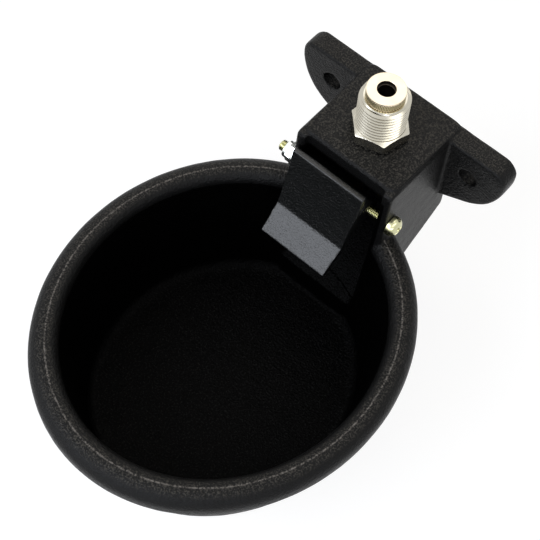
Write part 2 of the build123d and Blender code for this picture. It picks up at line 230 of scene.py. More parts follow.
@dataclass(frozen=True)
class PaintedCastIron:
    """Black semi-gloss enamel sprayed on rough sand-cast iron.

    The paint follows the sand's grain, so the eye sees specks just under a millimetre wide that
    break each highlight up. On faces that point up, light specks sit between them: partly dry dust,
    partly a painted sheen that stands in for the light on the tops.
    """

    name: str = "black_enamel_on_sand_cast_iron"
    paint: str = "#0b0b0b"
    dust_and_sheen: str = "#625e57"
    dust_and_sheen_share: float = 0.4
    dust_and_sheen_from: float = 0.49
    dust_and_sheen_fade: float = 0.12
    dust_and_sheen_roughness: float = 0.25
    level_from: float = 0.8
    level_full: float = 0.97
    grain_mm: float = 0.72
    pebble_mm: float = 1.2
    swell_mm: float = 8.0
    pebble_weight: float = 0.4
    swell_weight: float = 1.2
    relief_mm: float = 0.36
    roughness: float = 0.38
    specular: float = 0.12
    crest: Optional[CrestWearAndHighlight] = None

    def dust_and_sheen_mask(self, tree: Tree, normal: Socket,
                  grain: Socket) -> Socket:
        """Builds the mask of the dust and painted sheen, which lie in specks on faces that point up.

        Args:
            tree: the material's node tree.
            normal: the surface's direction.
            grain: the sand's grain, from 0 to 1.

        Returns:
            The mask.
        """
        facing = add_node(tree, "ShaderNodeSeparateXYZ", {0: normal}).outputs[2]
        level = map_range(tree, facing, (self.level_from, self.level_full), (0.0, self.dust_and_sheen_share))
        specks = map_range(tree, grain, (self.dust_and_sheen_from, self.dust_and_sheen_from + self.dust_and_sheen_fade), (0.0, 1.0))
        return math_node(tree, "MULTIPLY", level, specks)

    def build(self) -> bpy.types.Material:
        """Builds the material.

        Returns:
            The material.
        """
        material, tree = new_material(self.name)
        spot = add_node(tree, "ShaderNodeTexCoord", {})
        place = spot.outputs["Object"]
        grain = noise_texture(tree, place, self.grain_mm, detail=3.0, roughness=0.6)
        pebbles = add_node(
            tree, "ShaderNodeTexVoronoi",
            {"feature": "F1", "Scale": 1 / (self.pebble_mm * MM), "Vector": place},
        ).outputs["Distance"]
        swell = noise_texture(tree, place, self.swell_mm)
        grit = math_node(tree, "MULTIPLY_ADD", pebbles, -self.pebble_weight, grain)
        height = math_node(tree, "MULTIPLY_ADD", swell, self.swell_weight, grit)
        # Light specks on up-facing faces: partly dust, partly a painted sheen of the lit tops.
        dust_and_sheen_cover = self.dust_and_sheen_mask(tree, spot.outputs["Normal"], grain)
        tint = mix_colours(tree, dust_and_sheen_cover, to_linear(self.paint), to_linear(self.dust_and_sheen))
        # The crest's lighter beige line: partly rubbed enamel, partly a painted highlight along the crest.
        if self.crest is not None:
            rubbed_and_highlit = self.crest.mask(tree, place, grain)
            tint = mix_colours(tree, rubbed_and_highlit, tint, to_linear(self.crest.colour))
        roughest_dust_and_sheen = self.roughness + self.dust_and_sheen_roughness
        shader = add_node(tree, "ShaderNodeBsdfPrincipled", {
            "IOR": 1.5,
            "Specular IOR Level": self.specular,
            "Base Color": tint,
            "Roughness": map_range(tree, dust_and_sheen_cover, (0.0, 1.0), (self.roughness, roughest_dust_and_sheen)),
            "Normal": bump_node(tree, height, 1.0, self.relief_mm),
        })
        add_node(tree, "ShaderNodeOutputMaterial", {"Surface": shader.outputs[0]})
        return material


@dataclass(frozen=True)
class TurnedMetal:
    """Turned metal with fine tool marks, bare or plated.

    The marks are far finer than a pixel on the real part, so they are drawn a little coarser and
    only soften the reflections.
    """

    name: str
    light: str
    dark: str
    roughness: float = 0.2
    mark_mm: float = 0.3
    mark_height_mm: float = 0.002
    mark_strength: float = 0.6
    stain_mm: float = 5.0
    stain_span: tuple[float, float] = (0.3, 0.7)
    stain_roughness: tuple[float, float] = (-0.03, 0.04)

    def build(self) -> bpy.types.Material:
        """Builds the material.

        Returns:
            The material.
        """
        material, tree = new_material(self.name)
        place = add_node(tree, "ShaderNodeTexCoord", {}).outputs["Object"]
        marks = noise_texture(tree, place, self.mark_mm)
        stain = noise_texture(tree, place, self.stain_mm, detail=3.0)
        least, most = (self.roughness + change for change in self.stain_roughness)
        shader = add_node(tree, "ShaderNodeBsdfPrincipled", {
            "Metallic": 1.0,
            "Base Color": mix_colours(tree, stain, to_linear(self.light), to_linear(self.dark)),
            "Roughness": map_range(tree, stain, self.stain_span, (least, most)),
            "Normal": bump_node(tree, marks, self.mark_strength, self.mark_height_mm),
        })
        add_node(tree, "ShaderNodeOutputMaterial", {"Surface": shader.outputs[0]})
        return material


@dataclass(frozen=True)
class MouldedPolymer:
    """Moulded rubber or nylon: an even, fine-grained surface with a soft sheen."""

    name: str
    light: str
    dark: str
    roughness: float = 0.55
    grain_mm: float = 0.4
    grain_height_mm: float = 0.01
    grain_strength: float = 0.4

    def build(self) -> bpy.types.Material:
        """Builds the material.

        Returns:
            The material.
        """
        material, tree = new_material(self.name)
        place = add_node(tree, "ShaderNodeTexCoord", {}).outputs["Object"]
        grain = noise_texture(tree, place, self.grain_mm)
        shader = add_node(tree, "ShaderNodeBsdfPrincipled", {
            "Roughness": self.roughness,
            "IOR": 1.5,
            "Base Color": mix_colours(tree, grain, to_linear(self.light), to_linear(self.dark)),
            "Normal": bump_node(tree, grain, self.grain_strength, self.grain_height_mm),
        })
        add_node(tree, "ShaderNodeOutputMaterial", {"Surface": shader.outputs[0]})
        return material


def put_in_scene(name: str, data: bpy.types.ID) -> bpy.types.Object:
    """Makes an object of a mesh, lamp or camera and links it to the scene."""
    made = bpy.data.objects.new(name, data)
    bpy.context.scene.collection.objects.link(made)
    return made


def read_rows(items: bpy.types.bpy_prop_collection, name: str) -> np.ndarray:
    """Reads a vector of each vertex or face of a mesh, one row for each."""
    rows = np.empty(len(items) * 3)
    items.foreach_get(name, rows)
    return rows.reshape(-1, 3)


def ease(share: np.ndarray) -> np.ndarray:
    """Makes a share that runs evenly from 0 to 1 start and end gently."""
    return share * share * (3 - 2 * share)


def mesh_piece(name: str, points: np.ndarray, faces: Sequence[Sequence[int]]) -> bpy.types.Object:
    """Makes a smooth-shaded mesh object in the scene.

    Args:
        name: the piece's name.
        points: one row of X, Y, Z in metres for each vertex.
        faces: vertex numbers of each face.

    Returns:
        The linked object.
    """
    mesh = bpy.data.meshes.new(name)
    mesh.from_pydata([tuple(p) for p in points], [], [tuple(f) for f in faces])
    mesh.update()
    piece = put_in_scene(name, mesh)
    mesh.shade_smooth()
    return piece


def ring_faces(rows: int, columns: int, closed: bool = False) -> list:
    """Joins rings of points, each to the next, with four-sided faces.

    Args:
        rows: how many rings there are.
        columns: points of each ring.
        closed: joins the last ring to the first.

    Returns:
        The faces.
    """
    faces = []
    for i in range(rows if closed else rows - 1):
        low, high = i * columns, ((i + 1) % rows) * columns
        for j in range(columns):
            k = (j + 1) % columns
            faces.append((low + j, low + k, high + k, high + j))
    return faces


def end_caps(count: int, columns: int) -> list:
    """Closes the first and the last of the rings that hold count points, each with one face."""
    last = count - columns
    return [tuple(range(columns - 1, -1, -1)), tuple(last + j for j in range(columns))]


def lathe(rows: np.ndarray, columns: int,
          radius: Optional[Callable[[np.ndarray, np.ndarray, np.ndarray], np.ndarray]] = None,
          closed: bool = False) -> tuple[np.ndarray, list]:
    """Turns a profile round +Z.

    Args:
        rows: radius and height of each profile point, in millimetres.
        columns: how many steps make a full turn.
        radius: changes the radii from radius, height and angle arrays; None leaves them.
        closed: joins the last row to the first.

    Returns:
        Points in millimetres, round the origin, and faces.
    """
    angles = np.linspace(0, 2 * math.pi, columns, endpoint=False)
    r, a = np.meshgrid(rows[:, 0], angles, indexing="ij")
    z = np.repeat(rows[:, 1][:, None], columns, axis=1)
    if radius is not None:
        r = radius(r, z, a)
    points = np.stack([r * np.cos(a), r * np.sin(a), z], axis=-1).reshape(-1, 3)
    return points, ring_faces(len(rows), columns, closed)


def standing(points: np.ndarray, x: float, y: float) -> np.ndarray:
    """Moves points turned round +Z to an upright axis at x, y, all in millimetres, and gives metres."""
    return (points + np.array([x, y, 0.0])) * MM


def lying(points: np.ndarray, y: float, z: float) -> np.ndarray:
    """Lays points turned round +Z along +X, on an axis at y, z in millimetres, and gives metres."""
    return np.stack([points[:, 2], points[:, 0] + y, points[:, 1] + z], axis=-1) * MM


def finish_piece(piece: bpy.types.Object, materials: Sequence[bpy.types.Material], body: Body,
                 nodes: Sequence[str] = (), crease_deg: float = 35.0) -> bpy.types.Object:
    """Dresses a piece and ties it to its body.

    Args:
        piece: the object.
        materials: its finishes, in the order of its faces' numbers.
        body: the body that it moves with.
        nodes: the solids that it stands for.
        crease_deg: edges that turn more than this stay sharp.

    Returns:
        The piece.
    """
    numbers = np.zeros(len(piece.data.polygons), dtype=np.int32)
    piece.data.polygons.foreach_get("material_index", numbers)
    piece.data.materials.clear()
    for material in materials:
        piece.data.materials.append(material)
    piece.data.polygons.foreach_set("material_index", numbers)
    piece.data.shade_smooth()
    piece.data.set_sharp_from_angle(angle=math.radians(crease_deg))
    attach(piece, body.value)
    if nodes:
        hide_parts(*nodes)
    LOG.info("%s rides on %s, %d faces", piece.name, body.value, len(numbers))
    return piece


def dress_node(node: bpy.types.Object, material: bpy.types.Material) -> None:
    """Gives a solid that stays in view its material.

    Args:
        node: the solid's object.
        material: its finish.
    """
    node.data.materials.clear()
    node.data.materials.append(material)
    LOG.info("%s keeps its solid", node.name)


@dataclass(frozen=True)
class CastSkin:
    """A solid's surface as it comes out of the sand: edges rounded and faces slightly uneven."""

    voxel_mm: float
    smooth_steps: int
    swell_mm: float
    swell_pitch_mm: float = 6.0
    seed: float = 0.0

    def cover(self, node: bpy.types.Object, name: str) -> bpy.types.Object:
        """Copies a solid as cast metal: remeshed, smoothed, and each point moved a little inwards.

        Args:
            node: the solid's object.
            name: the new piece's name.

        Returns:
            The new object.
        """
        rough = put_in_scene(name + "_rough", node.data.copy())
        remesh = rough.modifiers.new("voxels", "REMESH")
        remesh.mode = "VOXEL"
        remesh.voxel_size = self.voxel_mm * MM
        smooth = rough.modifiers.new("smooth", "SMOOTH")
        smooth.factor = 0.5
        smooth.iterations = self.smooth_steps
        bpy.context.view_layer.update()
        mesh = bpy.data.meshes.new_from_object(rough.evaluated_get(bpy.context.evaluated_depsgraph_get()))
        mesh.name = name
        bpy.data.objects.remove(rough)
        place, normal = read_rows(mesh.vertices, "co"), read_rows(mesh.vertices, "normal")
        shift = Vector((self.seed, 0, 0))
        wave = np.array([noise.noise(Vector(p) / (self.swell_pitch_mm * MM) + shift) for p in place])
        place -= normal * ((wave * 0.5 + 0.5) * self.swell_mm * MM)[:, None]
        mesh.vertices.foreach_set("co", place.reshape(-1))
        mesh.update()
        return put_in_scene(name, mesh)


def sloping_radius(rows: Sequence[tuple[float, float]]) -> Callable[[np.ndarray], np.ndarray]:
    """Gives the radius at any height along straight runs between heights.

    Args:
        rows: height and radius of each corner, in millimetres, from low to high.

    Returns:
        A function from heights to radii.
    """
    heights = [row[0] for row in rows]
    radii = [row[1] for row in rows]
    return lambda z: np.interp(z, heights, radii)


def thread_depth(z: np.ndarray, a: np.ndarray, pitch: float, depth: float) -> np.ndarray:
    """Depth of a right-hand thread below its crest.

    Args:
        z: heights in millimetres.
        a: angles in radians.
        pitch: distance between turns in millimetres.
        depth: depth of the root in millimetres.

    Returns:
        Depths in millimetres.
    """
    phase = np.mod(z / pitch - a / (2 * math.pi), 1.0)
    ridge = np.abs(2 * phase - 1)
    crest_share, flank_share = 0.14, 0.72
    return depth * np.clip((ridge - crest_share) / flank_share, 0, 1)


def helical_thread(low: float, high: float, pitch: float, profile: Sequence[tuple[float, float]],
                   limit: Callable[[np.ndarray], np.ndarray], columns: int) -> tuple[np.ndarray, list]:
    """Winds a thread's profile up +Z as one strip, so that its crests are clean edges.

    Args:
        low: height where the thread starts, in millimetres.
        high: height where it ends; what would pass it is pressed flat there.
        pitch: distance between turns.
        profile: share of the pitch and radius of each corner of one turn.
        limit: the largest radius at each height.
        columns: steps of one turn.

    Returns:
        Points in millimetres, round the origin, and faces.
    """
    turns = int(math.ceil((high - low) / pitch)) + 1
    steps, corners = turns * columns, len(profile)
    share = np.array([p[0] for p in profile])[None, :]
    radius = np.repeat(np.array([p[1] for p in profile])[None, :], steps, axis=0)
    angle = np.arange(steps)[:, None] * 2 * math.pi / columns
    z = np.clip(low + pitch * (angle / (2 * math.pi) - 1 + share), low, high)
    radius = np.minimum(radius, limit(z))
    points = np.stack([radius * np.cos(angle), radius * np.sin(angle), z], axis=-1).reshape(-1, 3)
    faces = []
    for i in range(steps - 1):
        for j in range(corners):
            up, turn = (0, j + 1) if j + 1 < corners else (columns, 0)
            if i + up + 1 < steps:
                faces.append((i * corners + j, (i + 1) * corners + j, (i + 1 + up) * corners + turn,
                              (i + up) * corners + turn))
    return points, faces


def merge_close(piece: bpy.types.Object, distance_mm: float = 0.002) -> None:
    """Welds points that lie on each other, drops faces without area and turns all faces outwards.

    Args:
        piece: the object.
        distance_mm: points nearer than this become one.
    """
    work = bmesh.new()
    work.from_mesh(piece.data)
    bmesh.ops.remove_doubles(work, verts=work.verts, dist=distance_mm * MM)
    bmesh.ops.dissolve_degenerate(work, edges=work.edges, dist=distance_mm * MM)
    bmesh.ops.recalc_face_normals(work, faces=work.faces)
    work.to_mesh(piece.data)
    work.free()
    piece.data.update()


def hexagon_radius(a: np.ndarray, flats: float, turn: float) -> np.ndarray:
    """Radius of a hexagon at each angle, with a corner at angle turn, all in millimetres and radians."""
    inside = np.mod(a - turn, math.pi / 3) - math.pi / 6
    return flats / 2 / np.cos(inside)


@dataclass
class BowlCasting:
    """The oval bowl, its valve housing and wall flange, poured as one piece."""

    skin: CastSkin = CastSkin(voxel_mm=0.7, smooth_steps=2, swell_mm=0.16)
    outside: PaintedCastIron = PaintedCastIron(crest=CrestWearAndHighlight())
    # The inside's enamel is painted darker than the outside's, with less specular: painted shade for the
    # bowl and the chamber behind the tongue. Its light specks are partly dust, partly painted glints on the
    # floor.
    inside: PaintedCastIron = PaintedCastIron(
        name="black_enamel_inside_the_bowl", paint="#010101", dust_and_sheen="#252524", dust_and_sheen_share=0.7, dust_and_sheen_from=0.53,
        level_from=0.9, grain_mm=0.8, pebble_mm=1.2, relief_mm=0.5, roughness=0.34, specular=0.03,
    )
    centre_y: float = -117.1
    length_ratio: float = 1.12
    inner_top_half_width: float = 62.5
    inner_top_z: float = -22.5
    floor_z: float = -79.5
    wall_taper_deg: float = 6.5
    chamber_half_width: float = 20.0
    chamber_rear_y: float = -8.0
    chamber_top_z: float = 7.5
    chamber_lid_margin: float = 1.0
    ramp_rise: float = -31.47
    ramp_slope: float = 0.637
    half_wall: float = 2.0
    foot_z: float = -84.5
    foot_half_width: float = 61.0
    foot_round: float = 9.5
    wall_spread: float = 0.121
    trimmed_half_width: float = 53.8
    trimmed_spread: float = 0.343
    trimmed_round: float = 6.0
    trimmed_cut: float = 4.0
    trim_end_deg: float = 158.0
    trim_fade_deg: float = 36.0
    still_reach: float = 35.0
    rim_clearance: float = 8.0
    floor_lift: float = 2.0
    floor_shrink: float = 1.0
    floor_blend: float = 24.5
    ear_from: float = 46.0
    ear_to: float = 53.0
    ear_smooth_steps: int = 24

    def inner_wall(self, z: np.ndarray) -> np.ndarray:
        """Half width of the bowl's inside at each height, in millimetres."""
        taper = math.tan(math.radians(self.wall_taper_deg))
        return self.inner_top_half_width - (self.inner_top_z - z) * taper

    def in_bowl(self, reach: np.ndarray, z: np.ndarray) -> np.ndarray:
        """Finds the points that belong to the bowl's inside.

        Args:
            reach: half width of the oval through each point, in millimetres.
            z: heights in millimetres.

        Returns:
            True for each inner point.
        """
        below_top = (z < self.inner_top_z) & (z > self.floor_z - self.half_wall)
        return (reach < self.inner_wall(z) + self.half_wall) & below_top

    def inner_faces(self, mesh: bpy.types.Mesh) -> np.ndarray:
        """Finds the faces of the bowl's inside and of the chamber behind the tongue, which take the enamel
        painted darker as shade.

        Args:
            mesh: the skin.

        Returns:
            1 for each inner face and 0 for each outer one.
        """
        x, y, z = (read_rows(mesh.polygons, "center") / MM).T
        reach = np.hypot(x, (y - self.centre_y) / self.length_ratio)
        above_ramp = z > self.ramp_rise + self.ramp_slope * y - self.half_wall
        in_chamber = (
            (np.abs(x) < self.chamber_half_width + self.half_wall) & (y < self.chamber_rear_y)
            & (y > self.centre_y) & (z < self.chamber_top_z + self.chamber_lid_margin) & above_ramp
        )
        return (self.in_bowl(reach, z) | in_chamber).astype(np.int32)

    def trim_foot(self, mesh: bpy.types.Mesh) -> None:
        """Draws the foot in, so that the rim hides it from above, and lifts the floor with it.

        Args:
            mesh: the skin.
        """
        x, y, z = (read_rows(mesh.vertices, "co") / MM).T
        along = (y - self.centre_y) / self.length_ratio
        reach = np.maximum(np.hypot(x, along), 0.01)
        turn = np.degrees(np.arccos(np.clip(-along / reach, -1, 1)))
        share = ease(np.clip((self.trim_end_deg - turn) / self.trim_fade_deg, 0, 1))
        inside = self.in_bowl(reach, z)
        rise = np.clip(z - self.foot_z, 0, None)
        corner = np.sqrt(np.clip(self.foot_round**2 - (self.foot_round - rise) ** 2, 0, None))
        cast = np.where(rise < self.foot_round, self.foot_half_width - self.foot_round + corner,
                        self.foot_half_width + self.wall_spread * (rise - self.foot_round))
        low = 1 - np.clip(rise / self.trimmed_round, 0, 1)
        wanted = self.trimmed_half_width + self.trimmed_spread * rise - self.trimmed_cut * low**2
        scale = np.minimum(1.0, wanted / cast)
        near_wall = np.clip((reach - self.still_reach) / (cast - self.still_reach), 0, 1)
        outer_scale = 1 - (1 - scale) * near_wall * share
        deep = ease(np.clip((self.floor_z + self.floor_blend - z) / self.floor_blend, 0, 1))
        inner_scale = 1 - self.floor_shrink * deep * share / self.inner_wall(z)
        below_rim = z < self.inner_top_z - self.rim_clearance
        factor = np.where(inside, inner_scale, np.where(below_rim, outer_scale, 1.0))
        z = np.where(inside, z + self.floor_lift * deep, z)
        moved = np.stack([x * factor, self.centre_y + (y - self.centre_y) * factor, z], axis=-1) * MM
        mesh.vertices.foreach_set("co", moved.reshape(-1))
        mesh.update()

    def round_ears(self, piece: bpy.types.Object) -> None:
        """Rounds the flange's ends more than the rest of the casting.

        Args:
            piece: the skin.
        """
        group = piece.vertex_groups.new(name="ears")
        span = self.ear_to - self.ear_from
        for vertex in piece.data.vertices:
            weight = (abs(vertex.co.x) / MM - self.ear_from) / span
            if weight > 0:
                group.add([vertex.index], min(weight, 1.0), "REPLACE")
        smooth = piece.modifiers.new("ears", "SMOOTH")
        smooth.vertex_group = group.name
        smooth.factor = 0.5
        smooth.iterations = self.ear_smooth_steps
        bpy.context.view_layer.update()
        rounded = bpy.data.meshes.new_from_object(piece.evaluated_get(bpy.context.evaluated_depsgraph_get()))
        piece.modifiers.clear()
        piece.vertex_groups.clear()
        piece.data = rounded

    def build(self, frame: dict) -> bpy.types.Object:
        """Skins and paints the casting.


        Returns:
            The cast bowl.
        """
        piece = self.skin.cover(frame["nodes"]["bowl_casting"], "cast_bowl")
        self.round_ears(piece)
        piece.data.polygons.foreach_set("material_index", self.inner_faces(piece.data))
        self.trim_foot(piece.data)
        return finish_piece(piece, [self.outside.build(), self.inside.build()], Body.BOWL,
                            ["bowl_casting"], 180)


@dataclass
class PressTongue:
    """The bent plate that the animal presses, with its hub and the arm under the valve's stem."""

    skin: CastSkin = CastSkin(voxel_mm=0.45, smooth_steps=2, swell_mm=0.08, seed=40.0)
    # The tongue is smoother and glossier than the bowl, so its bent lip throws one broad highlight.
    paint: PaintedCastIron = PaintedCastIron(
        name="black_enamel_on_tongue", paint="#070808", dust_and_sheen_share=0.0, grain_mm=0.8, pebble_mm=1.0,
        relief_mm=0.18, roughness=0.3, specular=0.5,
    )

    def build(self, frame: dict) -> bpy.types.Object:
        """Skins and paints the tongue.


        Returns:
            The tongue.
        """
        piece = self.skin.cover(frame["nodes"]["press_tongue"], "painted_tongue")
        return finish_piece(piece, [self.paint.build()], Body.TONGUE, ["press_tongue"], 180)


@dataclass
class HingeFasteners:
    """The M5 hinge bolt with a domed head and cross recess, its washer and its lock nut."""

    axis_y: float = -44.9
    axis_z: float = -6.6
    cheek_x: float = 24.65
    head_radius: float = 4.4
    head_height: float = 4.6
    head_side: float = 1.2
    head_edge: float = 0.3
    dome_powers: tuple[float, float] = (0.85, 0.9)
    shank_radius: float = 2.5
    thread_pitch: float = 0.8
    thread_cut: float = 0.49
    end_x: float = -33.45
    recess_half_width: float = 0.5
    recess_reach: float = 2.2
    recess_depth: float = 1.6
    recess_edge: float = 0.2
    recess_turn_deg: float = 20.0
    nut_start_x: float = -25.65
    nut_hexagon: float = 3.3
    nut_height: float = 5.0
    nut_flats: float = 8.0
    nut_turn_deg: float = 40.0
    collar_bore: float = 3.3
    bore: float = 2.55
    tip_radius: float = 0.02
    end_chamfer: float = 0.6
    rows_per_turn: int = 8
    hub_end_x: float = -19.0
    play_x: float = 13.8
    cheek_inner_x: float = 20.6
    columns: int = 144
    shank_columns: int = 48
    # Thin zinc with a yellow passivation: bright, with a straw tint in the shade.
    zinc: TurnedMetal = TurnedMetal("zinc_plate_with_yellow_passivation", "#d9d8b8", "#b3b17c", 0.22)
    # Clear zinc: nearly white, with small soft highlights.
    bright_zinc: TurnedMetal = TurnedMetal("bright_zinc_plate", "#f1f4f2", "#dbe2e0", 0.22)
    # Natural nylon: milky, and dull beside the metal.
    nylon: MouldedPolymer = MouldedPolymer("natural_nylon", "#dfe6ea", "#c9d2d8", 0.45)

    def head(self, zinc: bpy.types.Material) -> bpy.types.Object:
        """Builds the bolt's domed head with its cross recess.

        Args:
            zinc: the plating.

        Returns:
            The head.
        """
        rows = [(self.tip_radius, 0.0), (self.head_radius - self.head_edge, 0.0),
                (self.head_radius, self.head_edge), (self.head_radius, self.head_side)]
        reach_power, rise_power = self.dome_powers
        for turn in np.linspace(0, math.pi / 2, 40)[1:]:
            rise = self.head_side + (self.head_height - self.head_side) * math.sin(turn) ** rise_power
            rows.append((max(self.head_radius * math.cos(turn) ** reach_power, self.tip_radius), rise))
        points, faces = lathe(np.array(rows), self.columns)
        faces += end_caps(len(points), self.columns)
        turn = math.radians(self.recess_turn_deg)
        across, rise = points[:, :2], points[:, 2]
        u = np.abs(across @ np.array([math.cos(turn), math.sin(turn)]))
        v = np.abs(across @ np.array([-math.sin(turn), math.cos(turn)]))
        arm, off = np.maximum(u, v), np.minimum(u, v)
        side = np.clip((self.recess_half_width + self.recess_edge / 2 - off) / self.recess_edge, 0, 1)
        end = np.clip((self.recess_reach - arm) / (self.recess_edge * 2), 0, 1)
        slope = 0.5 + 0.5 * np.clip(1 - arm / self.recess_reach, 0, 1)
        on_dome = rise > self.head_side + self.recess_edge
        points[:, 2] = rise - np.where(on_dome, self.recess_depth * side * end * slope, 0)
        points[:, 2] += self.cheek_x
        piece = mesh_piece("hinge_bolt_head", lying(points, self.axis_y, self.axis_z), faces)
        return finish_piece(piece, [zinc], Body.BOWL, ["hinge_bolt"], 40)

    def shank(self, zinc: bpy.types.Material) -> bpy.types.Object:
        """Builds the bolt's shank, threaded where it shows, with a chamfered end.

        Args:
            zinc: the plating.

        Returns:
            The shank.
        """
        heights = [self.cheek_x - 0.01]
        for low, high in ((self.end_x, self.hub_end_x), (self.play_x, self.cheek_inner_x)):
            heights += list(np.arange(low, high, self.thread_pitch / self.rows_per_turn))
        heights = sorted(set(np.round(heights, 4)), reverse=True)
        limit = sloping_radius([(self.end_x, self.shank_radius - self.end_chamfer),
                                (self.end_x + self.end_chamfer, self.shank_radius),
                                (self.cheek_x, self.shank_radius)])

        def threaded(r: np.ndarray, z: np.ndarray, a: np.ndarray) -> np.ndarray:
            """Cuts the thread into the shank."""
            return np.minimum(r - thread_depth(z, a, self.thread_pitch, self.thread_cut), limit(z))

        steps = self.shank_columns
        points, faces = lathe(np.array([(self.shank_radius, z) for z in heights]), steps, threaded)
        tip, last = len(points), len(points) - steps
        points = np.vstack([points, [0, 0, self.end_x]])
        faces += [(last + j, last + (j + 1) % steps, tip) for j in range(steps)]
        faces.append(tuple(range(steps - 1, -1, -1)))
        piece = mesh_piece("hinge_bolt_shank", lying(points, self.axis_y, self.axis_z), faces)
        piece.data.flip_normals()
        return finish_piece(piece, [zinc], Body.BOWL, ["hinge_bolt"], 40)

    def nut(self, zinc: bpy.types.Material) -> bpy.types.Object:
        """Builds the lock nut: hexagon with rounded corners, then the collar crimped over its nylon ring.

        Args:
            zinc: the plating.

        Returns:
            The nut.
        """
        end, half = self.nut_height, self.nut_flats / 2
        # The profile runs up the flats, over the collar and down the bore, in millimetres. The marked
        # rows get their radius from the hexagon.
        marked = 9.0
        rows = [(self.bore, 0.0), (half - 0.1, 0.0), (marked, 0.3)]
        rows += [(marked, z) for z in np.linspace(0.4, self.nut_hexagon - 0.5, 6)]
        rows += [(marked, self.nut_hexagon - 0.35), (half - 0.06, self.nut_hexagon),
                 (half - 0.08, self.nut_hexagon + 0.25), (half - 0.08, end - 0.75)]
        for turn in np.linspace(0, math.pi / 2, 7)[1:]:
            rows.append((half - 0.78 + 0.7 * math.cos(turn), end - 0.72 + 0.7 * math.sin(turn)))
        rows += [(self.collar_bore, end - 0.02), (self.collar_bore, end - 1.1), (self.bore, end - 1.1)]
        cone = sloping_radius([(0, half + 0.08), (0.35, half + 0.75), (self.nut_hexagon - 0.55, half + 0.75),
                               (self.nut_hexagon, half)])
        corner_angle = math.radians(self.nut_turn_deg)

        def hexagonal(r: np.ndarray, z: np.ndarray, a: np.ndarray) -> np.ndarray:
            """Gives the marked rows their six flats."""
            flats = hexagon_radius(a, self.nut_flats, corner_angle)
            return np.where(r >= marked, np.minimum(flats, cone(z)), r)

        points, faces = lathe(np.array(rows), self.columns, hexagonal, closed=True)
        points[:, 2] = self.nut_start_x - points[:, 2]
        piece = mesh_piece("hinge_lock_nut_skin", lying(points, self.axis_y, self.axis_z), faces)
        return finish_piece(piece, [zinc], Body.BOWL, ["hinge_lock_nut"], 32)

    def build(self, frame: dict) -> None:
        """Builds and dresses every fastener of the hinge.
        """
        zinc, bright = self.zinc.build(), self.bright_zinc.build()
        self.head(zinc)
        self.shank(zinc)
        self.nut(bright)
        dress_node(frame["nodes"]["hinge_washer"], bright)
        dress_node(frame["nodes"]["lock_nut_ring"], self.nylon.build())


